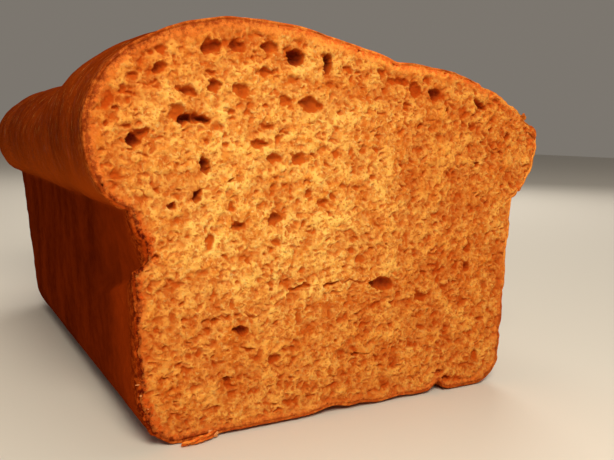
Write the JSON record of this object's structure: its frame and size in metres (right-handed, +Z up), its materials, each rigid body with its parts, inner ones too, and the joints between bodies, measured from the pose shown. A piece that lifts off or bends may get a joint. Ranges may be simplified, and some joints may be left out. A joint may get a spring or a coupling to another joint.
{
  "type": "brown bread loaf",
  "caption": "Tin loaf of brown bread with one end cut off: straight walls, a lopsided overhanging crown and an open, porous cut face.",
  "frame": {"origin": "on the surface that the loaf stands on, under the middle of its length and width", "axes": "+Z up, +Y along the loaf from the cut face to the heel, +X to the right as the cut face is seen from in front"},
  "size_m": [0.1494, 0.2065, 0.1113],
  "materials": {
    "bread": "matte"
  },
  "bodies": {
    "root": {"loaf": "bread"}
  },
  "joints": []
}
